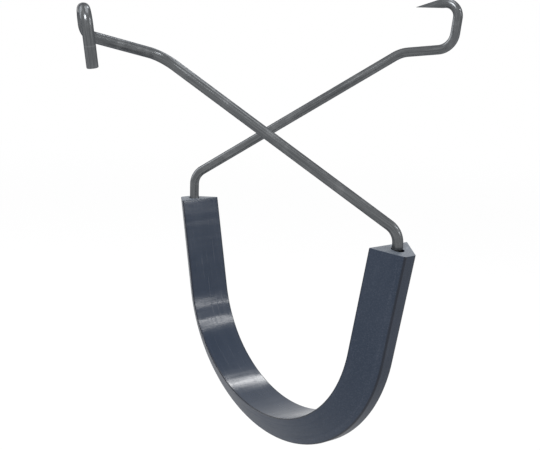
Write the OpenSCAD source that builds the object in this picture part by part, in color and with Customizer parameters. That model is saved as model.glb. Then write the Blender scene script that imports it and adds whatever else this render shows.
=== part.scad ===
// Cable support: a U-shaped plastic saddle threaded on one bent steel rod.
// The cables run along Y through the U. The rod leaves both ends of the saddle,
// and its two arms rise to a pair of hooks over one bar that also runs along Y.
// The origin lies midway between the rod's centres at the two ends of the saddle.

/* [Rod] */
// Diameter of the steel rod
rod_d = 6; // [4:0.5:8]
// Bend radius at the foot of each arm, on the rod's centre line
post_bend_r = 11.5; // [9:0.5:12]
// Bend radius where each arm turns into its hook
arm_bend_r = 18; // [12:1:22]
// Chamfer on the square-cut end of the rod
rod_chamfer = 0.6; // [0.2:0.1:1.2]

/* [Cradle] */
// Width of the U between rod centres at the ends of the saddle
cradle_span = 195; // [180:1:220]
// Angle by which each leg of the U leans outward
leg_splay = 12.6; // [8:0.2:16]
// Length of the straight stretch of each leg
leg_len = 63.4; // [50:0.2:75]
// Radius of the rod where the legs start to curve in
side_r = 80; // [70:1:90]
// Angle turned on that radius before the flatter bottom starts
side_turn = 37.4; // [25:0.2:45]

/* [Saddle] */
// Width of the flat inner face that the cables lie on
saddle_w = 28.8; // [24:0.2:34]
// Width of the crest along the outside of the U
crest_w = 7.8; // [5:0.2:12]
// Thickness from the inner face to the crest
saddle_t = 17.8; // [15:0.2:21]
// Depth of the rod's centre below the inner face
rod_depth = 7; // [6:0.1:8]
// Rounding of the saddle's long edges
saddle_edge_r = 0.9; // [0.4:0.1:1.5]
// Gap between the rod and the bore all round
bore_clear = 0.25; // [0.1:0.05:0.4]
// Amount by which each mouth of the bore opens toward the crest
mouth_relief = 1.3; // [0.5:0.1:2]
// Depth of that opened mouth
mouth_depth = 14; // [6:1:25]
// Height of the saddle's end face at the near arm
near_face_z = 0.8; // [-3:0.1:0.9]
// Slope of that face, down toward the crest
near_face_slope = 9.5; // [0:0.5:12]
// Height of the saddle's end face at the far arm
far_face_z = -1.8; // [-3:0.1:3]
// Slope of that face, down toward the crest
far_face_slope = 3.5; // [0:0.5:12]

/* [Arms] */
// Height of the bend at the foot of the near arm
near_post_h = 10.4; // [10.3:0.1:20]
// Height of the bend at the foot of the far arm
far_post_h = 14; // [10:0.1:20]
// Distance of both arm ends from the middle of the U, along Y
arm_reach = 90; // [75:1:110]
// Height of both arm ends
arm_rise = 100; // [85:1:120]
// Offset of both arm ends from the centre plane, along X
arm_offset = 2.5; // [-5:0.5:8]

/* [Hook bar] */
// Diameter of the largest bar that the hooks go over
bar_d = 14.5; // [10:0.5:16]
// Distance of the bar's axis from the centre plane, along X
bar_x = 21; // [18:0.5:24]

/* [Far hook] */
// Turn of the far hook from the X axis, seen from above
far_turn = 25; // [15:1:35]
// Length of its foot, which passes under the bar
far_foot = 34; // [31:0.2:42]
// Rise of the foot along its length
far_foot_rise = 4; // [0:0.5:8]
// Height from the end of the foot to the top corner
far_height = 31.6; // [29:0.2:36]
// Lean of the back, outward at the top
far_lean = 3.8; // [0:0.1:5]
// Reach of the return from the top corner back to its point
far_return = 29.6; // [29.5:0.1:33]
// Bend radius between the foot and the back
far_low_r = 12; // [8:0.5:12]
// Bend radius between the back and the return
far_top_r = 8; // [6:0.5:8]
// Droop of the return, whose level underside then cuts it to a point
far_droop = 18.5; // [18.5:0.5:24]
// Length by which the point is blunted
tip_blunt = 1.5; // [0.5:0.1:2.5]

/* [Near hook] */
// Length of its foot, which runs behind the bar
near_foot = 51.8; // [44:0.2:60]
// Rise of the foot along its length
near_foot_rise = 11.6; // [8:0.2:14]
// Height of the crook's top, above the end of the foot
near_height = 13.4; // [13.2:0.2:20]
// Lean of the crook's legs along the bar, in degrees
near_lean = 8.2; // [4:0.2:12]
// Turn of the crook from the X axis, seen from above
near_turn = 24; // [15:1:30]
// Length of the front leg, which hangs down in front of the bar
near_drop = 28.8; // [24:0.2:40]
// Bend radius of the crook
near_r = 8; // [6:0.2:8]

/* [Hidden] */

// facets of round sections, of tight bends and of the wide U
section_fn = 20;
bend_fn = 40;
sweep_fn = 84;

rod_r = rod_d / 2;
bore_r = rod_r + bore_clear;

// Each bend is fuller than the straights by this much, and they end inside it
bend_swell = 0.02;
lap = 0.3;

// The U is a straight leg, a side arc and a flatter bottom arc on each side.
// Its angles are measured from level, at the bottom of the U.
leg_turn = 90 - leg_splay;
bottom_turn = leg_turn - side_turn;
leg_in = leg_len * sin(leg_splay);
leg_down = leg_len * cos(leg_splay);
side_in = side_r * (cos(leg_splay) - cos(leg_splay + side_turn));
side_down = side_r * (sin(leg_splay + side_turn) - sin(leg_splay));
bottom_r = (cradle_span / 2 - leg_in - side_in) / sin(bottom_turn);
bottom_z = -leg_down - side_down - bottom_r * (1 - cos(bottom_turn));
bottom_centre_z = bottom_z + bottom_r;
side_centre = [
    (bottom_r - side_r) * sin(bottom_turn),
    bottom_centre_z - (bottom_r - side_r) * cos(bottom_turn)
];

function in_mirror(v) = [-v[0], v[1], v[2]];

// Corners of the two arms, from the end of the saddle to the hook. Each bend at an
// end of the saddle starts where the rod is clear of its end face.
function exit_at(face_z, slope) =
    let (s = face_z + rod_r * sin(slope) + post_bend_r * tan(leg_splay / 2))
    [cradle_span / 2 + s * sin(leg_splay), 0, s * cos(leg_splay)];
near_leg_foot = [cradle_span / 2 - leg_in, 0, -leg_down];
far_leg_foot = in_mirror(near_leg_foot);
near_exit = exit_at(near_face_z, near_face_slope);
far_exit = in_mirror(exit_at(far_face_z, far_face_slope));
near_post = [near_exit[0], 0, near_post_h];
far_post = [far_exit[0], 0, far_post_h];
near_arm_end = [arm_offset, -arm_reach, arm_rise];
far_arm_end = [arm_offset, arm_reach, arm_rise];

// Corners of the far hook, which opens toward -X
far_out = [cos(far_turn), sin(far_turn), 0];
far_heel = far_arm_end + far_foot * far_out + [0, 0, far_foot_rise];
far_top = far_heel + far_lean * far_out + [0, 0, far_height];
far_run = far_return - tip_blunt;
far_tip = far_top - far_run * far_out - [0, 0, far_run * tan(far_droop)];
far_under_z = far_top[2] - far_return * tan(far_droop) + rod_r / cos(far_droop);

// Corners of the near hook: its crook stands clear of the bar on both sides
crook_gap_x = bar_d / 2 + rod_r;
near_heel_x = bar_x - crook_gap_x;
near_front_x = bar_x + crook_gap_x;
near_out_y = -sqrt(pow(near_foot, 2) - pow(near_heel_x - arm_offset, 2));
near_heel = [near_heel_x, -arm_reach + near_out_y, arm_rise + near_foot_rise];
near_back_top = near_heel + near_height * [0, -tan(near_lean), 1];
near_front_top = near_back_top
    + [near_front_x - near_heel_x, -(near_front_x - near_heel_x) * tan(near_turn), 0];
near_end = near_front_top + near_drop * [0, tan(near_lean), -1];

near_arm = [
    near_leg_foot, near_exit, near_post, near_arm_end,
    near_heel, near_back_top, near_front_top, near_end
];
near_arm_r = [0, post_bend_r, post_bend_r, arm_bend_r, near_r, near_r, near_r, 0];
far_arm = [far_leg_foot, far_exit, far_post, far_arm_end, far_heel, far_top, far_tip];
far_arm_r = [0, post_bend_r, post_bend_r, arm_bend_r, far_low_r, far_top_r, 0];

function unit(v) = v / norm(v);

// Angle through which a path turns at its corner i
function turn_at(path, i) =
    acos(unit(path[i] - path[i - 1]) * unit(path[i + 1] - path[i]));

// Length that the bend takes from the straight on either side of corner i
function trim_at(path, radii, i) =
    i == 0 || i == len(path) - 1 ? 0 : radii[i] * tan(turn_at(path, i) / 2);

// Frame with its origin at o, its X axis along x and its Z axis along z
function frame(o, x, z) =
    let (y = cross(z, x))
    [[x[0], y[0], z[0], o[0]], [x[1], y[1], z[1], o[1]], [x[2], y[2], z[2], o[2]], [0, 0, 0, 1]];

// A direction square to v
function square_to(v) = unit(cross(v, abs(v[2]) < 0.9 ? [0, 0, 1] : [1, 0, 0]));

// Turns things drawn in the XY plane to stand in the XZ plane
module in_u_plane() {
    rotate([90, 0, 0]) children();
}

// Stands things drawn up the Z axis along the line from one point to another
module along_line(from, to) {
    multmatrix(frame(from, square_to(unit(to - from)), unit(to - from))) children();
}

// Bend of the rod round corner i of a path
module bend(path, radii, i) {
    into = unit(path[i] - path[i - 1]);
    out = unit(path[i + 1] - path[i]);
    axis = unit(cross(into, out));
    start = path[i] - into * trim_at(path, radii, i);
    outward = cross(into, axis);
    multmatrix(frame(start - outward * radii[i], outward, axis))
        rotate_extrude(angle = turn_at(path, i), $fn = bend_fn)
            translate([radii[i], 0]) circle(r = rod_r + bend_swell, $fn = section_fn);
}

// Rod along a path: a bend at each corner, a straight between each pair of them,
// and a last straight that ends in a chamfer
module bent_rod(path, radii) {
    last = len(path) - 1;
    for (i = [0 : last - 1]) {
        along = unit(path[i + 1] - path[i]);
        from = path[i] + along * (trim_at(path, radii, i) - lap);
        to = path[i + 1] - along * (trim_at(path, radii, i + 1) - lap);
        if (i < last - 1) along_line(from, to)
            cylinder(h = norm(to - from), r = rod_r, $fn = section_fn);
        else along_line(from, path[last])
            chamfered_bar(norm(path[last] - from));
    }
    for (i = [1 : last - 1]) bend(path, radii, i);
}

// Round bar up the Z axis, with a chamfer at its top end
module chamfered_bar(length) {
    rotate_extrude($fn = section_fn) polygon([
        [0, 0], [rod_r, 0], [rod_r, length - rod_chamfer],
        [rod_r - rod_chamfer, length], [0, length]
    ]);
}

// One arc of the U, swept round (centre x, centre z); the angles run from level
module u_arc(centre, from, angle) {
    in_u_plane() translate([centre[0], centre[1], 0]) rotate([0, 0, from])
        rotate_extrude(angle = angle, $fn = sweep_fn) children();
}

// Sweeps a section round the bottom of the U. Its x runs outward from the rod's
// centre line, and its y runs across the strip.
module u_bottom() {
    over = bottom_turn + lap / bottom_r * 180 / PI;
    u_arc([0, bottom_centre_z], 270 - over, 2 * over) translate([bottom_r, 0]) children();
}

// Sweeps a section round both side arcs of the U
module u_sides() {
    u_arc(side_centre, 270 + bottom_turn, side_turn) translate([side_r, 0]) children();
    u_arc([-side_centre[0], side_centre[1]], 270 - leg_turn, side_turn)
        translate([side_r, 0]) children();
}

// Sweeps a section up both legs of the U
module u_legs(length) {
    for (side = [0, 1]) mirror([side, 0, 0])
        translate(near_leg_foot) rotate([0, leg_splay, 0]) translate([0, 0, -lap])
            linear_extrude(length + lap) children();
}

// Rounded outline of the saddle's section, from the rod's centre: the wide inner
// face at negative x, the narrow crest at positive x
inner_x = -rod_depth;
crest_x = saddle_t - rod_depth;
section = [
    [inner_x, -saddle_w / 2], [crest_x, -crest_w / 2],
    [crest_x, crest_w / 2], [inner_x, saddle_w / 2]
];

function section_corner(i) = section[(i + 4) % 4];
function edge_dir(i) = unit(section_corner(i + 1) - section_corner(i));
function edge_normal(i) = [edge_dir(i)[1], -edge_dir(i)[0]];
function corner_half(i) = acos(edge_dir(i - 1) * edge_dir(i)) / 2;
function corner_centre(i) = section_corner(i)
    - saddle_edge_r * (edge_normal(i - 1) + edge_normal(i)) / 2 / pow(cos(corner_half(i)), 2);

module saddle_section(swell = 0) {
    edge_r = saddle_edge_r + swell;
    polygon([for (i = [0 : 3]) for (k = [i - 1, i])
        corner_centre(i) + edge_r * edge_normal(k)]);
    for (i = [0 : 3])
        translate(corner_centre(i)) circle(r = edge_r, $fn = section_fn);
}

// Everything above the end face on the +X side, to cut the saddle's leg to length
module end_cut(face_z, slope) {
    translate([cradle_span / 2, 0, face_z]) rotate([0, slope, 0])
        translate([-saddle_t * 2, -saddle_w, 0]) cube([saddle_t * 4, saddle_w * 2, saddle_t * 2]);
}

// Mouth of the bore, opened toward the crest where the rod leans in
module bore_mouth() {
    translate([cradle_span / 2, 0, 0]) rotate([0, leg_splay, 0])
        translate([mouth_relief, 0, -mouth_depth])
            cylinder(h = mouth_depth + saddle_t, r = bore_r, $fn = section_fn);
}

// Box under the drooping return, which leaves it level below and pointed
module tip_cut() {
    bend_start = far_top - trim_at(far_arm, far_arm_r, 5) * unit(far_top - far_tip);
    crown = bend_start + far_top_r * sin(far_droop) * far_out;
    translate([crown[0], crown[1], far_under_z - rod_d * 2]) rotate([0, 0, far_turn])
        translate([-far_return, -rod_d, 0]) cube([far_return, rod_d * 2, rod_d * 2]);
}

module hanger_rod() {
    color("#6d7072") {
        u_bottom() circle(r = rod_r, $fn = section_fn);
        u_sides() circle(r = rod_r + bend_swell, $fn = section_fn);
        bent_rod(near_arm, near_arm_r);
        difference() {
            bent_rod(far_arm, far_arm_r);
            tip_cut();
        }
    }
}

module saddle() {
    color("#3b414c") difference() {
        union() {
            u_bottom() saddle_section();
            u_sides() saddle_section(bend_swell);
            u_legs(leg_len + saddle_t / 2) saddle_section();
        }
        end_cut(near_face_z, near_face_slope);
        mirror([1, 0, 0]) end_cut(far_face_z, far_face_slope);
        for (side = [0, 1]) mirror([side, 0, 0]) bore_mouth();
        u_bottom() circle(r = bore_r, $fn = section_fn);
        u_sides() circle(r = bore_r + bend_swell, $fn = section_fn);
        u_legs(leg_len + saddle_t) circle(r = bore_r, $fn = section_fn);
    }
}

hanger_rod();
saddle();
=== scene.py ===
"""Looks of a cable support: a U-shaped plastic saddle threaded on one bent steel rod.

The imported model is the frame. Each piece is swept along the same bends as its solid,
in millimetres, and brought to metres when it is done. Every mesh carries an attribute
that lays it out straight, so that grain and wear follow the rod and the saddle.
"""

import logging
import math
from collections.abc import Iterator
from dataclasses import dataclass, field
from enum import Enum

import bmesh
import bpy
from mathutils import Matrix, Vector


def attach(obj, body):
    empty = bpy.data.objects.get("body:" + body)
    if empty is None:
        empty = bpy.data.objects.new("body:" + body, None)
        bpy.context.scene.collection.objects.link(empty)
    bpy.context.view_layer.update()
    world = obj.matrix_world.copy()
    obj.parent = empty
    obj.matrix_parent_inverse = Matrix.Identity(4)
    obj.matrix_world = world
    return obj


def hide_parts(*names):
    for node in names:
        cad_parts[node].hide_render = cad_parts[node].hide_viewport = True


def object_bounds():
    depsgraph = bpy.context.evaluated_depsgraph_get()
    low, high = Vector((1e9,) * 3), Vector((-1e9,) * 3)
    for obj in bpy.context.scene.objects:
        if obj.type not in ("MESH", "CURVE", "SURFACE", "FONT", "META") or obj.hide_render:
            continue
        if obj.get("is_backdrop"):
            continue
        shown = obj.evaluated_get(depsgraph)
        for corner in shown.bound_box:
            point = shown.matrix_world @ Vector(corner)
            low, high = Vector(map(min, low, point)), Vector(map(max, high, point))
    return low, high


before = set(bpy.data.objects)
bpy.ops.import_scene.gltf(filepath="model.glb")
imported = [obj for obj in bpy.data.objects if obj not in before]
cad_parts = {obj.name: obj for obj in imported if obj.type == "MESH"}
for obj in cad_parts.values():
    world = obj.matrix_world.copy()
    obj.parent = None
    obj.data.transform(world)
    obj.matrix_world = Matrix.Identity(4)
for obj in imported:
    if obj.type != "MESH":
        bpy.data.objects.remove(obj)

LOG = logging.getLogger("cable_support")
METRE = 0.001
UNROLLED = "unrolled"
SHARP = math.radians(32)
WELD = 1e-4
SORT_DIGITS = 7

Colour = tuple[float, float, float, float]


class Slot(Enum):
    """Material slots of the record, which the solids are named after too."""

    ROD = "hanger_rod"
    SADDLE = "saddle"


class Finish(Enum):
    """Material numbers on the saddle."""

    MOULDED = 0
    SAWN = 1


class Side(Enum):
    """The two ends of the saddle, by the sign of their X."""

    NEAR = 1
    FAR = -1


# ---------------------------------------------------------------- shader sheets


@dataclass(frozen=True)
class Wire:
    """A number socket that adds Math nodes when it is reckoned with."""

    sheet: "Sheet"
    socket: bpy.types.NodeSocket

    def reckon(self, operation: str, *others: "Wire | float") -> "Wire":
        """Adds one Math node.

        Args:
            operation: The Math node's operation.
            others: Its second and third values.

        Returns:
            The node's result.
        """
        values = dict(enumerate((self, *others)))
        node = self.sheet.node("ShaderNodeMath", {"operation": operation}, values)
        return Wire(self.sheet, node.outputs[0])

    def flipped(self, operation: str, other: float) -> "Wire":
        """Adds one Math node with a plain number as its first value."""
        node = self.sheet.node("ShaderNodeMath", {"operation": operation}, {0: other, 1: self})
        return Wire(self.sheet, node.outputs[0])

    def __add__(self, other: "Wire | float") -> "Wire":
        """Adds another value."""
        return self.reckon("ADD", other)

    def __radd__(self, other: float) -> "Wire":
        """Adds itself to a number."""
        return self.flipped("ADD", other)

    def __sub__(self, other: "Wire | float") -> "Wire":
        """Takes another value away."""
        return self.reckon("SUBTRACT", other)

    def __rsub__(self, other: float) -> "Wire":
        """Takes itself away from a number."""
        return self.flipped("SUBTRACT", other)

    def __mul__(self, other: "Wire | float") -> "Wire":
        """Multiplies by another value."""
        return self.reckon("MULTIPLY", other)

    def __rmul__(self, other: float) -> "Wire":
        """Multiplies a number by itself."""
        return self.flipped("MULTIPLY", other)

    def size(self) -> "Wire":
        """Gives the value without its sign."""
        return self.reckon("ABSOLUTE")

    def most(self, other: "Wire | float") -> "Wire":
        """Gives the larger of two values."""
        return self.reckon("MAXIMUM", other)

    def ramp(self, low: float, high: float) -> "Wire":
        """Gives a smooth mask.

        Args:
            low: The value where the mask is 0.
            high: The value where it is 1. It may lie below low, which turns the mask round.

        Returns:
            The mask.
        """
        settings = {"interpolation_type": "SMOOTHSTEP"}
        values = {"Value": self, "From Min": low, "From Max": high, "To Min": 0.0, "To Max": 1.0}
        return Wire(self.sheet, self.sheet.node("ShaderNodeMapRange", settings, values).outputs[0])


@dataclass
class Sheet:
    """A node tree that a finish is drawn on."""

    tree: bpy.types.NodeTree
    material: bpy.types.Material | None = None

    @classmethod
    def blank(cls, name: str) -> "Sheet":
        """Makes a new material with an empty tree."""
        material = bpy.data.materials.new(name)
        material.use_nodes = True
        material.node_tree.nodes.clear()
        return cls(material.node_tree, material)

    def node(
        self,
        kind: str,
        settings: dict[str, object] | None = None,
        values: dict[str | int, object] | None = None,
    ) -> bpy.types.Node:
        """Makes a node of any kind.

        Args:
            kind: The node's type.
            settings: Its properties, set first.
            values: What goes into its sockets: a Wire, another socket or a constant.

        Returns:
            The node.
        """
        node = self.tree.nodes.new(kind)
        for name, value in (settings or {}).items():
            setattr(node, name, value)
        for key, value in (values or {}).items():
            socket = node.inputs[key]
            if isinstance(value, Wire):
                self.tree.links.new(value.socket, socket)
            elif isinstance(value, bpy.types.NodeSocket):
                self.tree.links.new(value, socket)
            else:
                socket.default_value = value
        return node

    def mix(self, factor: Wire | float, low: object, high: object) -> bpy.types.NodeSocket:
        """Mixes two colours.

        Args:
            factor: The share of the second colour.
            low: The first colour, as a socket or four numbers.
            high: The second colour.

        Returns:
            The mixed colour.
        """
        settings = {"data_type": "RGBA", "clamp_factor": True}
        return self.node("ShaderNodeMix", settings, {0: factor, 6: low, 7: high}).outputs[2]

    def stretched(
        self, place: bpy.types.NodeSocket, scale: tuple[float, float, float]
    ) -> bpy.types.NodeSocket:
        """Scales a vector on each axis by itself, through a Vector Math node."""
        settings = {"operation": "MULTIPLY"}
        return self.node("ShaderNodeVectorMath", settings, {0: place, 1: scale}).outputs[0]

    def noise(
        self, place: bpy.types.NodeSocket, scale: float, detail: float = 3.0, rough: float = 0.55
    ) -> Wire:
        """Makes fractal noise.

        Args:
            place: The coordinates.
            scale: How many features a unit of them holds.
            detail: Octaves.
            rough: Weight of the finer octaves.

        Returns:
            The noise, between 0 and 1.
        """
        values = {"Vector": place, "Scale": scale, "Detail": detail, "Roughness": rough}
        node = self.node("ShaderNodeTexNoise", {"noise_dimensions": "3D"}, values)
        return Wire(self, node.outputs[0])

    def unrolled(self) -> tuple[bpy.types.NodeSocket, Wire, Wire, Wire]:
        """Reads the attribute that lays the piece out straight, in millimetres.

        Returns:
            The whole vector, then its two section coordinates and its length along the piece.
        """
        settings = {"attribute_type": "GEOMETRY", "attribute_name": UNROLLED}
        place = self.node("ShaderNodeAttribute", settings).outputs["Vector"]
        parts = self.node("ShaderNodeSeparateXYZ", None, {0: place}).outputs
        return place, Wire(self, parts[0]), Wire(self, parts[1]), Wire(self, parts[2])

    def bump(self, height: Wire, depth: float, below: object = None) -> bpy.types.NodeSocket:
        """Turns a height into a normal.

        Args:
            height: The height, where 1 stands for the whole depth.
            depth: The depth in metres.
            below: A normal that this one adds to.

        Returns:
            The bumped normal.
        """
        values: dict[str | int, object] = {"Height": height, "Distance": depth}
        if below is not None:
            values["Normal"] = below
        return self.node("ShaderNodeBump", None, values).outputs[0]

    def surface(self, values: dict[str | int, object]) -> bpy.types.Material:
        """Ends the sheet in one Principled shader with these sockets."""
        shader = self.node("ShaderNodeBsdfPrincipled", None, values)
        self.node("ShaderNodeOutputMaterial", None, {"Surface": shader.outputs[0]})
        return self.material


# -------------------------------------------------------------------- finishes


@dataclass(frozen=True)
class DrawnSteel:
    """Dull drawn steel: grey, with fine grain along the rod, faint marks across it, and a painted highlight
    ring near its square end.
    """

    body: Colour = (0.088, 0.093, 0.098, 1.0)
    pale: Colour = (0.2, 0.207, 0.212, 1.0)
    dark: Colour = (0.03, 0.033, 0.038, 1.0)
    edge_tint: Colour = (0.3, 0.31, 0.33, 1.0)
    metallic: float = 0.85
    roughness: float = 0.25
    grain_depth: float = 0.00003
    # Place and half-width of a painted highlight ring, in millimetres from the square end.
    highlight_ring_at: float = 11.0
    highlight_ring_half: float = 0.5

    def paint(self) -> bpy.types.Material:
        """Draws the finish and gives its material."""
        sheet = Sheet.blank("drawn_steel")
        place, _, _, along = sheet.unrolled()
        grain = sheet.noise(sheet.stretched(place, (1.6, 1.6, 0.05)), 1.0, 4.0, 0.6)
        fine = sheet.noise(sheet.stretched(place, (6.0, 6.0, 0.3)), 1.0, 2.0)
        rings = sheet.noise(sheet.stretched(place, (0.25, 0.25, 3.4)), 1.0, 3.0, 0.7)
        cloud = sheet.noise(place, 0.11, 3.0, 0.6)
        pits = sheet.noise(place, 2.3, 2.0, 0.7)
        # Painted highlight: a pale ring across the rod near its square end.
        highlight_ring = (along - self.highlight_ring_at).size().ramp(self.highlight_ring_half, 0.0)
        shade = sheet.mix(grain.ramp(0.4, 0.72) * 0.45, self.body, self.pale)
        shade = sheet.mix(cloud.ramp(0.5, 0.72) * 0.3, shade, self.pale)
        shade = sheet.mix(pits.ramp(0.58, 0.76) * 0.45, shade, self.dark)
        shade = sheet.mix(rings.ramp(0.6, 0.75) * 0.35, shade, self.dark)
        shade = sheet.mix(highlight_ring * 0.4, shade, self.pale)
        height = grain * 0.7 + fine * 0.2 + rings * 0.15 - pits.ramp(0.6, 0.8) * 0.2
        return sheet.surface(
            {
                "Base Color": shade,
                "Metallic": self.metallic,
                "Specular Tint": self.edge_tint,
                "Roughness": self.roughness + (cloud - 0.5) * 0.25 + (fine - 0.5) * 0.12,
                "Normal": sheet.bump(height, self.grain_depth),
            }
        )


@dataclass(frozen=True)
class Section:
    """The saddle's trapezoid section, with x from the rod's centre line toward the crest."""

    inner_w: float = 28.8
    crest_w: float = 7.8
    thick: float = 17.8
    rod_depth: float = 7.0
    edge_r: float = 0.9
    edge_steps: int = 6

    @property
    def crest(self) -> float:
        """Depth of the crest below the rod's centre line."""
        return self.thick - self.rod_depth


@dataclass(frozen=True)
class MouldedPlastic:
    """Dark plastic: a glossy, faintly waved inside, duller speckled slopes and crest, and painted shade along
    the long edges and on the crest.
    """

    section: Section
    body: Colour = (0.009, 0.018, 0.036, 1.0)
    pale: Colour = (0.036, 0.047, 0.07, 1.0)
    # Near-black painted shade for the long edges and, more faintly, the crest face.
    edge: Colour = (0.002, 0.004, 0.01, 1.0)
    scuffed: Colour = (0.1, 0.115, 0.14, 1.0)
    glossy: float = 0.17
    dull: float = 0.46
    grain_depth: float = 0.00003
    wave_depth: float = 0.00035
    specular: float = 0.33
    beside_crest: float = 3.2

    @staticmethod
    def shaded_edge_mask(depth: Wire, across: Wire, level: float, width: float) -> Wire:
        """Gives a mask of the two long edges at one depth, where shade is painted.

        Args:
            depth: The depth across the section.
            across: The place across its width.
            level: The edges' own depth.
            width: How far apart they are.

        Returns:
            The mask.
        """
        away = (across.size() - width / 2).size() + (depth - level).size()
        return away.ramp(1.7, 0.5)

    def paint(self) -> bpy.types.Material:
        """Draws the finish and gives its material."""
        sheet = Sheet.blank("moulded_plastic")
        place, depth, across, _ = sheet.unrolled()
        speckle = sheet.noise(place, 1.3, 3.0, 0.7)
        cloud = sheet.noise(sheet.stretched(place, (0.05, 0.05, 0.02)), 1.0, 3.0)
        waves = sheet.noise(sheet.stretched(place, (0.0, 0.012, 0.06)), 1.0, 2.0)
        streaks = sheet.noise(sheet.stretched(place, (0.4, 1.1, 0.03)), 1.0, 4.0, 0.65)
        inner, crest = -self.section.rod_depth, self.section.crest
        inside = depth.ramp(inner + 0.8, inner + 0.2)
        edges = self.shaded_edge_mask(depth, across, inner, self.section.inner_w)
        edges = edges.most(self.shaded_edge_mask(depth, across, crest, self.section.crest_w))
        on_crest = depth.ramp(crest - 0.8, crest - 0.2)
        beside = (depth - (crest - self.beside_crest)).size().ramp(1.1, 0.2) * speckle.ramp(0.4, 0.6)
        shade = sheet.mix(speckle.ramp(0.46, 0.66) * (1 - inside * 0.6) * 0.5, self.body, self.pale)
        shade = sheet.mix(cloud.ramp(0.4, 0.75) * 0.3, shade, self.pale)
        shade = sheet.mix(beside * 0.35, shade, self.pale)
        shade = sheet.mix(streaks.ramp(0.62, 0.74) * 0.12, shade, self.scuffed)
        # Painted shade: the long edges are darkened toward near-black, and the crest face at about a third of
        # that strength.
        shade = sheet.mix(edges.most(on_crest * 0.3) * 0.8, shade, self.edge)
        roughness = self.dull - inside * (self.dull - self.glossy) + (speckle - 0.5) * 0.1
        fine = sheet.bump(speckle * (1 - inside * 0.8) + streaks * 0.5, self.grain_depth)
        return sheet.surface(
            {
                "Base Color": shade,
                "Metallic": 0.0,
                "Specular IOR Level": self.specular,
                "Roughness": roughness + streaks.ramp(0.5, 0.75) * 0.14,
                "Normal": sheet.bump(waves * inside, self.wave_depth, fine),
            }
        )


@dataclass(frozen=True)
class SawnPlastic:
    """The saddle's cut ends: paler and matt, with fine saw lines across."""

    body: Colour = (0.055, 0.068, 0.09, 1.0)
    pale: Colour = (0.16, 0.18, 0.205, 1.0)
    roughness: float = 0.5
    line_depth: float = 0.00005

    def paint(self) -> bpy.types.Material:
        """Draws the finish and gives its material."""
        sheet = Sheet.blank("sawn_plastic")
        place, _, _, _ = sheet.unrolled()
        lines = sheet.noise(sheet.stretched(place, (3.5, 0.12, 3.5)), 1.0, 3.0, 0.6)
        cloud = sheet.noise(place, 0.25, 3.0)
        shade = sheet.mix(lines.ramp(0.4, 0.65) * 0.5, self.body, self.pale)
        shade = sheet.mix(cloud.ramp(0.45, 0.7) * 0.4, shade, self.pale)
        return sheet.surface(
            {
                "Base Color": shade,
                "Metallic": 0.0,
                "Roughness": self.roughness + (cloud - 0.5) * 0.15,
                "Normal": sheet.bump(lines, self.line_depth),
            }
        )


@dataclass(frozen=True)
class PaleFloor:
    """A pale matt floor, lifted toward white where it is seen or reflected, and more so far off."""

    colour: Colour = (0.86, 0.86, 0.87, 1.0)
    lift: float = 0.86
    fade: tuple[float, float] = (0.5, 2.5)

    def paint(self) -> bpy.types.Material:
        """Draws the finish and gives its material."""
        sheet = Sheet.blank("pale_floor")
        matt = sheet.node("ShaderNodeBsdfDiffuse", None, {"Color": self.colour})
        white = sheet.node("ShaderNodeEmission", None, {"Color": (1, 1, 1, 1), "Strength": 1.0})
        place = sheet.node("ShaderNodeTexCoord").outputs["Object"]
        distance = sheet.node("ShaderNodeVectorMath", {"operation": "LENGTH"}, {0: place})
        away = Wire(sheet, distance.outputs["Value"])
        lift = self.lift + away.ramp(*self.fade) * (1 - self.lift)
        seen = Studio.seen_rays(sheet) * lift
        both = sheet.node("ShaderNodeMixShader", None, {0: seen, 1: matt.outputs[0], 2: white.outputs[0]})
        sheet.node("ShaderNodeOutputMaterial", None, {"Surface": both.outputs[0]})
        return sheet.material


# ----------------------------------------------------------------------- paths


@dataclass(frozen=True)
class Straight:
    """A straight move along a path."""

    way: Vector

    @property
    def length(self) -> float:
        """How far it goes."""
        return self.way.length


@dataclass(frozen=True)
class Bend:
    """A turn of a path about an axis."""

    centre: Vector
    axis: Vector
    angle: float
    radius: float

    @property
    def length(self) -> float:
        """How far it goes on its own radius."""
        return self.angle * self.radius


@dataclass(frozen=True)
class BentPath:
    """A line through corners, with a bend of its own radius at each of them."""

    corners: tuple[Vector, ...]
    radii: tuple[float, ...]

    def way(self, i: int) -> Vector:
        """Direction from corner i to the next one."""
        return (self.corners[i + 1] - self.corners[i]).normalized()

    def trim(self, i: int) -> float:
        """Length that the bend at corner i takes off the straight on either side."""
        if i in (0, len(self.corners) - 1):
            return 0.0
        return self.radii[i] * math.tan(self.way(i - 1).angle(self.way(i)) / 2)

    def moves(self) -> Iterator[Straight | Bend]:
        """Yields the path's straights and bends in order."""
        last = len(self.corners) - 1
        for i in range(last):
            gap = (self.corners[i + 1] - self.corners[i]).length - self.trim(i) - self.trim(i + 1)
            if gap > WELD:
                yield Straight(self.way(i) * gap)
            if i + 1 < last:
                before, after = self.way(i), self.way(i + 1)
                axis = before.cross(after).normalized()
                start = self.corners[i + 1] - before * self.trim(i + 1)
                radius = self.radii[i + 1]
                yield Bend(start + axis.cross(before) * radius, axis, before.angle(after), radius)


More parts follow.
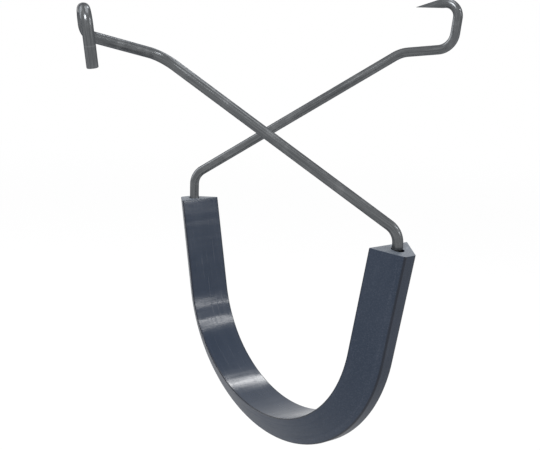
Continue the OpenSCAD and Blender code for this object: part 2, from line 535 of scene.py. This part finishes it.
@dataclass
class Sweep:
    """A mesh grown by carrying a ring of edges along a path."""

    mesh: bmesh.types.BMesh
    ring: list[bmesh.types.BMEdge]
    run: float = 0.0

    @classmethod
    def start(cls, mesh: bmesh.types.BMesh, stand: Matrix) -> "Sweep":
        """Notes the section's coordinates and stands it at the start of a path.

        Args:
            mesh: The mesh that holds the section, drawn flat round the origin.
            stand: Where the section goes.

        Returns:
            The sweep, ready to go.
        """
        layer = mesh.verts.layers.float_vector[UNROLLED]
        for vert in mesh.verts:
            vert[layer] = (vert.co.x, vert.co.y, 0.0)
        bmesh.ops.transform(mesh, matrix=stand, verts=mesh.verts)
        return cls(mesh, list(mesh.edges))

    def note(self, ring: list[bmesh.types.BMEdge]) -> None:
        """Takes the new ring and notes how far along it is."""
        self.ring = ring
        layer = self.mesh.verts.layers.float_vector[UNROLLED]
        for vert in dict.fromkeys(v for edge in ring for v in edge.verts):
            place = vert[layer]
            vert[layer] = (place[0], place[1], self.run)

    def go_straight(self, move: Straight, step: float) -> None:
        """Carries the ring along a straight, in steps of about this length."""
        count = max(1, round(move.length / step))
        for _ in range(count):
            grown = bmesh.ops.extrude_edge_only(self.mesh, edges=self.ring)["geom"]
            verts = [g for g in grown if isinstance(g, bmesh.types.BMVert)]
            bmesh.ops.translate(self.mesh, vec=move.way / count, verts=verts)
            self.run += move.length / count
            moved = set(verts)
            edges = [g for g in grown if isinstance(g, bmesh.types.BMEdge)]
            self.note([e for e in edges if moved.issuperset(e.verts)])

    def go_round(self, move: Bend, step: float) -> None:
        """Carries the ring round a bend, in steps of about this angle."""
        count = max(2, round(move.angle / step))
        for _ in range(count):
            grown = bmesh.ops.spin(
                self.mesh,
                geom=self.ring,
                cent=move.centre,
                axis=move.axis,
                angle=move.angle / count,
                steps=1,
                use_merge=False,
                use_normal_flip=False,
                use_duplicate=False,
            )["geom_last"]
            self.run += move.length / count
            self.note([g for g in grown if isinstance(g, bmesh.types.BMEdge)])

    def follow(self, path: BentPath, step: float, turn_step: float) -> None:
        """Carries the ring along a whole path.

        Args:
            path: The path.
            step: Length of a step on its straights.
            turn_step: Angle of a step in its bends.
        """
        for move in path.moves():
            if isinstance(move, Straight):
                self.go_straight(move, step)
            else:
                self.go_round(move, turn_step)

    def cap(self) -> bmesh.types.BMFace:
        """Closes the mesh with a face across its last ring."""
        return bmesh.ops.contextual_create(self.mesh, geom=self.ring)["faces"][0]


def standing(origin: Vector, outward: Vector, along: Vector) -> Matrix:
    """Makes the matrix that stands a flat section on a path.

    Args:
        origin: Where the section's middle goes.
        outward: Where the section's x points.
        along: The path's direction, square to outward.

    Returns:
        The matrix.
    """
    turned = Matrix((outward, along.cross(outward), along)).transposed().to_4x4()
    return Matrix.Translation(origin) @ turned


def spot(place: Vector) -> tuple[float, float, float]:
    """Gives a place as numbers that can be sorted."""
    return round(place.x, SORT_DIGITS), round(place.y, SORT_DIGITS), round(place.z, SORT_DIGITS)


def square_to(way: Vector) -> Vector:
    """Gives a direction square to another."""
    other = Vector((0, 0, 1)) if abs(way.z) < 0.9 else Vector((1, 0, 0))
    return way.cross(other).normalized()


# ---------------------------------------------------------------------- shapes


@dataclass(frozen=True)
class Cradle:
    """The U that both pieces follow, in millimetres, on the rod's centre line."""

    span: float = 195.0
    splay: float = math.radians(12.6)
    leg: float = 63.4
    side_r: float = 80.0
    side_turn: float = math.radians(37.4)
    near_face: tuple[float, float] = (0.8, math.radians(9.5))
    far_face: tuple[float, float] = (-1.8, math.radians(3.5))

    @property
    def bottom_turn(self) -> float:
        """Half of the angle that the flatter bottom turns."""
        return math.pi / 2 - self.splay - self.side_turn

    @property
    def bottom_r(self) -> float:
        """Radius of the bottom."""
        side_in = self.side_r * (math.cos(self.splay) - math.cos(self.splay + self.side_turn))
        return (self.span / 2 - self.leg * math.sin(self.splay) - side_in) / math.sin(self.bottom_turn)

    @property
    def bottom_corner(self) -> Vector:
        """The corner under the middle, where the two halves of the bottom's bend would meet."""
        sides = self.side_r * (math.sin(self.splay + self.side_turn) - math.sin(self.splay))
        middle = -self.leg * math.cos(self.splay) - sides + self.bottom_r * math.cos(self.bottom_turn)
        return Vector((0, 0, middle - self.bottom_r / math.cos(self.bottom_turn)))

    def end_face(self, side: Side) -> tuple[float, float]:
        """Gives the height of the saddle's end face at the rod, and its slope toward the crest."""
        return self.near_face if side is Side.NEAR else self.far_face

    def on_leg(self, side: Side, height: float) -> Vector:
        """Gives the point of a leg's line at a length above the rim's level."""
        x = self.span / 2 + height * math.sin(self.splay)
        return Vector((side.value * x, 0, height * math.cos(self.splay)))

    def side_corner(self, side: Side) -> Vector:
        """Gives the corner in which a leg turns into the bottom."""
        return self.on_leg(side, -self.leg - self.side_r * math.tan(self.side_turn / 2))

    def corners(self) -> tuple[Vector, Vector, Vector]:
        """Gives the U's three corners, from the near side to the far side."""
        return self.side_corner(Side.NEAR), self.bottom_corner, self.side_corner(Side.FAR)

    def radii(self) -> tuple[float, float, float]:
        """Gives the bend radius at each of those corners."""
        return self.side_r, self.bottom_r, self.side_r


@dataclass
class Piece:
    """What both pieces share: how a mesh becomes a finished object."""

    cradle: Cradle = field(default_factory=Cradle)

    @staticmethod
    def new_mesh() -> bmesh.types.BMesh:
        """Starts an empty mesh with the attribute that lays it out straight."""
        mesh = bmesh.new()
        mesh.verts.layers.float_vector.new(UNROLLED)
        return mesh

    @staticmethod
    def put_in_order(mesh: bmesh.types.BMesh) -> None:
        """Sorts a mesh's parts by place, so that they come out in the same order each time."""
        spots = (
            [spot(vert.co) for vert in mesh.verts],
            [spot(edge.verts[0].co + edge.verts[1].co) for edge in mesh.edges],
            [spot(face.calc_center_median()) for face in mesh.faces],
        )
        for parts, places in zip((mesh.verts, mesh.edges, mesh.faces), spots, strict=True):
            parts.index_update()
            ranks = {old: rank for rank, old in enumerate(sorted(range(len(places)), key=places.__getitem__))}
            parts.sort(key=lambda part, ranks=ranks: ranks[part.index])

    @classmethod
    def to_object(cls, mesh: bmesh.types.BMesh, name: str) -> bpy.types.Object:
        """Closes a mesh's seams, turns it outward, brings it to metres and makes its object."""
        bmesh.ops.remove_doubles(mesh, verts=mesh.verts, dist=WELD)
        cls.put_in_order(mesh)
        bmesh.ops.recalc_face_normals(mesh, faces=mesh.faces)
        bmesh.ops.scale(mesh, vec=(METRE, METRE, METRE), verts=mesh.verts)
        data = bpy.data.meshes.new(name)
        mesh.to_mesh(data)
        mesh.free()
        thing = bpy.data.objects.new(name, data)
        bpy.context.scene.collection.objects.link(thing)
        return thing

    @staticmethod
    def settle(thing: bpy.types.Object) -> None:
        """Applies an object's modifiers to its mesh."""
        graph = bpy.context.evaluated_depsgraph_get()
        ready = thing.evaluated_get(graph)
        data = bpy.data.meshes.new_from_object(ready, preserve_all_data_layers=True, depsgraph=graph)
        thing.modifiers.clear()
        thing.data = data

    @classmethod
    def smooth(cls, thing: bpy.types.Object) -> None:
        """Shades an object smooth between its sharp edges, with its flats kept flat."""
        mesh = bmesh.new()
        mesh.from_mesh(thing.data)
        cls.put_in_order(mesh)
        for face in mesh.faces:
            face.smooth = True
        for edge in mesh.edges:
            edge.smooth = edge.calc_face_angle(0.0) < SHARP
        mesh.to_mesh(thing.data)
        mesh.free()
        flats = thing.modifiers.new("flats", "WEIGHTED_NORMAL")
        flats.keep_sharp = True
        flats.weight = 80
        cls.settle(thing)

    @staticmethod
    def dress(thing: bpy.types.Object, slot: Slot, *finishes: bpy.types.Material) -> None:
        """Gives an object its finishes and lets it stand in for its solid."""
        for finish in finishes:
            thing.data.materials.append(finish)
        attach(thing, "root")
        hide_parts(slot.value)
        LOG.info("%s: %d faces", thing.name, len(thing.data.polygons))


@dataclass
class HangerRod(Piece):
    """One steel rod, bent from the near hook through the saddle to the far hook."""

    rod_d: float = 6.0
    chamfer: float = 0.6
    posts: tuple[float, float] = (10.4, 14.0)
    post_r: float = 11.5
    arm_r: float = 18.0
    arm_reach: float = 90.0
    arm_rise: float = 100.0
    arm_offset: float = 2.5
    bar_d: float = 14.5
    bar_x: float = 21.0
    far_turn: float = math.radians(25)
    far_foot: tuple[float, float] = (34.0, 4.0)
    far_back: tuple[float, float] = (3.8, 31.6)
    far_return: float = 29.6
    far_droop: float = math.radians(18.5)
    far_blunt: float = 1.5
    far_radii: tuple[float, float] = (12.0, 8.0)
    near_foot: tuple[float, float] = (51.8, 11.6)
    near_height: float = 13.4
    near_lean: float = math.radians(8.2)
    near_turn: float = math.radians(24)
    near_drop: float = 28.8
    near_r: float = 8.0
    round_steps: int = 48
    step: float = 2.5
    turn_step: float = math.radians(3.5)

    def near_corners(self) -> list[Vector]:
        """Gives the near hook's corners, from its square end to its arm."""
        gap = self.bar_d / 2 + self.rod_d / 2
        back_x, front_x = self.bar_x - gap, self.bar_x + gap
        out = math.sqrt(self.near_foot[0] ** 2 - (back_x - self.arm_offset) ** 2)
        heel = Vector((back_x, -self.arm_reach - out, self.arm_rise + self.near_foot[1]))
        lean = Vector((0, -math.tan(self.near_lean), 1))
        back_top = heel + self.near_height * lean
        across = front_x - back_x
        front_top = back_top + Vector((across, -across * math.tan(self.near_turn), 0))
        return [front_top - self.near_drop * lean, front_top, back_top, heel]

    def far_outward(self) -> Vector:
        """Gives the level direction in which the far hook reaches out."""
        return Vector((math.cos(self.far_turn), math.sin(self.far_turn), 0))

    def far_corners(self) -> list[Vector]:
        """Gives the far hook's corners, from its heel to its tip."""
        outward = self.far_outward()
        heel = self.arm_end(Side.FAR) + self.far_foot[0] * outward + Vector((0, 0, self.far_foot[1]))
        top = heel + self.far_back[0] * outward + Vector((0, 0, self.far_back[1]))
        run = self.far_return - self.far_blunt
        return [heel, top, top - run * outward - Vector((0, 0, run * math.tan(self.far_droop)))]

    def arm_end(self, side: Side) -> Vector:
        """Gives the corner where an arm turns into its hook."""
        return Vector((self.arm_offset, -side.value * self.arm_reach, self.arm_rise))

    def exit_corner(self, side: Side) -> Vector:
        """Gives the corner above a mouth, where the rod stands upright clear of the end face."""
        height, slope = self.cradle.end_face(side)
        clear = self.rod_d / 2 * math.sin(slope) + self.post_r * math.tan(self.cradle.splay / 2)
        return self.cradle.on_leg(side, height + clear)

    def path(self) -> BentPath:
        """Lays out the whole rod."""
        near_exit = self.exit_corner(Side.NEAR)
        far_exit = self.exit_corner(Side.FAR)
        corners = [
            *self.near_corners(),
            self.arm_end(Side.NEAR),
            Vector((near_exit.x, 0, self.posts[0])),
            near_exit,
            *self.cradle.corners(),
            far_exit,
            Vector((far_exit.x, 0, self.posts[1])),
            self.arm_end(Side.FAR),
            *self.far_corners(),
        ]
        near = [0.0, self.near_r, self.near_r, self.near_r, self.arm_r, self.post_r, self.post_r]
        far = [self.post_r, self.post_r, self.arm_r, *self.far_radii, 0.0]
        return BentPath(tuple(corners), (*near, *self.cradle.radii(), *far))

    def cut_tip(self, mesh: bmesh.types.BMesh, path: BentPath) -> None:
        """Cuts the drooping return level below, which points it, and closes the cut.

        Args:
            mesh: The swept rod.
            path: The rod's path.
        """
        outward = self.far_outward()
        last = len(path.corners) - 2
        top = path.corners[last]
        start = top + path.way(last) * path.trim(last)
        crown = start + self.far_radii[1] * math.sin(self.far_droop) * outward
        drop = self.far_return * math.tan(self.far_droop) - self.rod_d / 2 / math.cos(self.far_droop)
        beyond = []
        for face in mesh.faces:
            middle = face.calc_center_median()
            is_return = (middle - crown).dot(outward) < 0 and middle.z > top.z - drop - self.rod_d
            if is_return and (middle - top).length < self.far_return * 1.3:
                beyond.append(face)
        geometry = dict.fromkeys(part for face in beyond for part in (face, *face.edges, *face.verts))
        bmesh.ops.bisect_plane(
            mesh,
            geom=list(geometry),
            dist=WELD,
            plane_co=(crown.x, crown.y, top.z - drop),
            plane_no=(0, 0, -1),
            clear_outer=True,
        )
        open_edges = [edge for edge in mesh.edges if edge.is_boundary]
        bmesh.ops.holes_fill(mesh, edges=open_edges, sides=0)

    def build(self) -> bpy.types.Object:
        """Makes the rod's mesh.

        Returns:
            The rod, in place.
        """
        mesh = self.new_mesh()
        path = self.path()
        bmesh.ops.create_circle(mesh, cap_ends=True, segments=self.round_steps, radius=self.rod_d / 2)
        along = path.way(0)
        sweep = Sweep.start(mesh, standing(path.corners[0], square_to(along), along))
        first = list(sweep.ring)
        sweep.follow(path, self.step, self.turn_step)
        last = sweep.cap()
        bmesh.ops.bevel(
            mesh,
            geom=[*first, *last.edges],
            offset=self.chamfer,
            affect="EDGES",
            segments=3,
            profile=0.5,
            material=-1,
        )
        self.cut_tip(mesh, path)
        thing = self.to_object(mesh, "bent_rod")
        self.smooth(thing)
        return thing


@dataclass
class Saddle(Piece):
    """A trapezoid strip of plastic that follows the U, with the rod's bore through it."""

    section: Section = field(default_factory=Section)
    bore_r: float = 3.25
    bore_steps: int = 40
    mouth_shift: float = 1.3
    mouth_depth: float = 14.0
    rim: float = 0.35
    past_ends: float = 10.0
    step: float = 3.0
    turn_step: float = math.radians(1.5)
    bore_step: float = 4.0
    bore_turn_step: float = math.radians(3)

    def draw_section(self, mesh: bmesh.types.BMesh) -> None:
        """Draws the rounded trapezoid flat, with its x toward the crest."""
        bmesh.ops.create_grid(mesh, x_segments=1, y_segments=1, size=1.0)
        for vert in mesh.verts:
            on_crest = vert.co.x > 0
            half = (self.section.crest_w if on_crest else self.section.inner_w) / 2
            depth = self.section.crest if on_crest else -self.section.rod_depth
            vert.co = (depth, math.copysign(half, vert.co.y), 0)
        bmesh.ops.bevel(
            mesh,
            geom=list(mesh.verts),
            offset=self.section.edge_r,
            affect="VERTICES",
            segments=self.section.edge_steps,
            profile=0.5,
            material=-1,
        )

    def path(self) -> BentPath:
        """Lays out the U, with its legs run past the ends of the saddle."""
        ends = [self.cradle.on_leg(side, self.past_ends) for side in (Side.NEAR, Side.FAR)]
        corners = (ends[0], *self.cradle.corners(), ends[1])
        return BentPath(corners, (0.0, *self.cradle.radii(), 0.0))

    def stand(self) -> Matrix:
        """Stands a section at the top of the near leg, facing down it."""
        splay = self.cradle.splay
        outward = Vector((math.cos(splay), 0, -math.sin(splay)))
        down = Vector((-math.sin(splay), 0, -math.cos(splay)))
        return standing(self.cradle.on_leg(Side.NEAR, self.past_ends), outward, down)

    def cut_ends(self, mesh: bmesh.types.BMesh) -> None:
        """Cuts both legs to length, closes them and rounds their rims."""
        for side in Side:
            height, slope = self.cradle.end_face(side)
            cut = bmesh.ops.bisect_plane(
                mesh,
                geom=[*mesh.verts, *mesh.edges, *mesh.faces],
                dist=WELD,
                plane_co=(side.value * self.cradle.span / 2, 0, height),
                plane_no=(side.value * math.sin(slope), 0, math.cos(slope)),
                clear_outer=True,
            )["geom_cut"]
            rim = [g for g in cut if isinstance(g, bmesh.types.BMEdge)]
            for face in bmesh.ops.contextual_create(mesh, geom=rim)["faces"]:
                face.material_index = Finish.SAWN.value
            bmesh.ops.bevel(
                mesh,
                geom=rim,
                offset=self.rim,
                affect="EDGES",
                segments=3,
                profile=0.5,
                material=-1,
            )

    def bore(self) -> bpy.types.Object:
        """Makes the cutter that bores the saddle along the whole U."""
        mesh = self.new_mesh()
        bmesh.ops.create_circle(mesh, cap_ends=True, segments=self.bore_steps, radius=self.bore_r)
        sweep = Sweep.start(mesh, self.stand())
        sweep.follow(self.path(), self.bore_step, self.bore_turn_step)
        sweep.cap()
        return self.to_object(mesh, "bore_cutter")

    def mouth(self, side: Side) -> bpy.types.Object:
        """Makes the cutter that opens one mouth of the bore toward the crest."""
        mesh = self.new_mesh()
        length = self.mouth_depth + self.past_ends
        shift = (side.value * self.mouth_shift, 0, length / 2 - self.mouth_depth)
        bmesh.ops.create_cone(
            mesh,
            cap_ends=True,
            cap_tris=False,
            segments=self.bore_steps,
            radius1=self.bore_r,
            radius2=self.bore_r,
            depth=length,
            matrix=Matrix.Translation(shift),
        )
        place = Matrix.Translation((side.value * self.cradle.span / 2, 0, 0))
        turn = Matrix.Rotation(side.value * self.cradle.splay, 4, "Y")
        bmesh.ops.transform(mesh, matrix=place @ turn, verts=mesh.verts)
        return self.to_object(mesh, "mouth_cutter")

    def build(self) -> bpy.types.Object:
        """Makes the saddle's mesh.

        Returns:
            The saddle, in place.
        """
        mesh = self.new_mesh()
        self.draw_section(mesh)
        sweep = Sweep.start(mesh, self.stand())
        sweep.follow(self.path(), self.step, self.turn_step)
        self.cut_ends(mesh)
        thing = self.to_object(mesh, "cable_saddle")
        for cutter in (self.bore(), self.mouth(Side.NEAR), self.mouth(Side.FAR)):
            cut = thing.modifiers.new("cut", "BOOLEAN")
            cut.operation = "DIFFERENCE"
            cut.solver = "EXACT"
            cut.object = cutter
            self.settle(thing)
            bpy.data.objects.remove(cutter)
        self.smooth(thing)
        return thing


# ---------------------------------------------------------------------- studio


@dataclass(frozen=True)
class Lamp:
    """One soft area lamp."""

    name: str
    place: tuple[float, float, float]
    size: tuple[float, float]
    power: float

    def hang(self, target: Vector) -> None:
        """Makes the lamp and points it at a target."""
        light = bpy.data.lights.new(self.name, "AREA")
        light.shape = "RECTANGLE"
        light.size, light.size_y = self.size
        light.energy = self.power
        thing = bpy.data.objects.new(self.name, light)
        thing.location = self.place
        thing.rotation_euler = (target - Vector(self.place)).to_track_quat("-Z", "Y").to_euler()
        bpy.context.scene.collection.objects.link(thing)


@dataclass
class Studio:
    """Floor, lamps, world and camera."""

    floor_drop: float = 0.14
    floor_size: float = 60.0
    world_strength: float = 0.55
    lens: float = 73.8
    sensor: float = 36.0
    shift: tuple[float, float] = (0.0356, -0.0912)
    sight: float = 200.0
    stand: tuple[float, float, float] = (0.51461, -0.41243, 0.13104)
    right: tuple[float, float, float] = (0.59752, 0.80153, 0.023)
    up: tuple[float, float, float] = (-0.13926, 0.07548, 0.98738)
    lamps: tuple[Lamp, ...] = (
        Lamp("key", (0.9, -1.3, 1.3), (0.55, 0.55), 27.0),
        Lamp("left", (-1.5, -0.9, 0.8), (1.0, 1.4), 14.0),
        Lamp("top", (0.1, 0.3, 1.7), (1.4, 1.0), 12.0),
        Lamp("low strip", (1.26, 0.88, 0.43), (0.5, 0.08), 1.8),
        Lamp("middle strip", (1.06, 0.88, 0.82), (0.5, 0.08), 2.8),
        Lamp("high strip", (-0.43, 0.91, 1.25), (0.12, 0.5), 4.0),
    )

    @staticmethod
    def seen_rays(sheet: Sheet) -> Wire:
        """Gives 1 on rays that are seen or reflected, and 0 on rays that only light things."""
        rays = sheet.node("ShaderNodeLightPath").outputs
        seen = Wire(sheet, rays["Is Camera Ray"])
        glossy = Wire(sheet, rays["Is Glossy Ray"])
        return seen.most(glossy).most(Wire(sheet, rays["Is Transmission Ray"]))

    def build_floor(self, lowest: float) -> None:
        """Lays the floor under the object, which hangs above it."""
        mesh = bmesh.new()
        bmesh.ops.create_grid(mesh, x_segments=2, y_segments=2, size=self.floor_size / 2)
        bmesh.ops.translate(mesh, vec=(0, 0, lowest - self.floor_drop), verts=mesh.verts)
        data = bpy.data.meshes.new("floor")
        mesh.to_mesh(data)
        mesh.free()
        floor = bpy.data.objects.new("floor", data)
        floor.data.materials.append(PaleFloor().paint())
        bpy.context.scene.collection.objects.link(floor)
        floor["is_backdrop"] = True

    def build_world(self) -> None:
        """Lights everything evenly, and is white where it is seen."""
        world = bpy.data.worlds.new("studio")
        world.use_nodes = True
        world.node_tree.nodes.clear()
        bpy.context.scene.world = world
        sheet = Sheet(world.node_tree)
        strength = self.world_strength + self.seen_rays(sheet) * (1.0 - self.world_strength)
        shader = sheet.node("ShaderNodeBackground", None, {"Color": (1, 1, 1, 1), "Strength": strength})
        sheet.node("ShaderNodeOutputWorld", None, {"Surface": shader.outputs[0]})

    def build_camera(self) -> None:
        """Stands the camera in front of the near arm, at the hooks' level."""
        data = bpy.data.cameras.new("camera")
        data.sensor_width = self.sensor
        data.lens = self.lens
        data.shift_x, data.shift_y = self.shift
        data.clip_end = self.sight
        right, up = Vector(self.right), Vector(self.up)
        turned = Matrix((right, up, right.cross(up))).transposed().to_4x4()
        camera = bpy.data.objects.new("camera", data)
        camera.matrix_world = Matrix.Translation(self.stand) @ turned
        bpy.context.scene.collection.objects.link(camera)
        bpy.context.scene.camera = camera

    def build(self, lowest: float) -> None:
        """Builds the whole studio.

        Args:
            lowest: Height of the object's lowest point.
        """
        self.build_floor(lowest)
        self.build_world()
        for lamp in self.lamps:
            lamp.hang(Vector((0, 0, 0)))
        self.build_camera()
        bpy.context.scene.view_settings.view_transform = "Standard"


def plain(bounds: object) -> list:
    """Turns a box into plain lists of numbers."""
    return [[float(c) for c in corner] for corner in bounds]


def main() -> None:
    """Builds the pieces in order and reports each one."""
    logging.basicConfig(level=logging.INFO, format="%(name)s: %(message)s")
    solid_box = plain(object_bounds())
    Piece.dress(HangerRod().build(), Slot.ROD, DrawnSteel().paint())
    saddle = Saddle()
    moulded = MouldedPlastic(saddle.section)
    Piece.dress(saddle.build(), Slot.SADDLE, moulded.paint(), SawnPlastic().paint())
    Studio().build(solid_box[0][2])


if __name__ == "__main__":
    main()
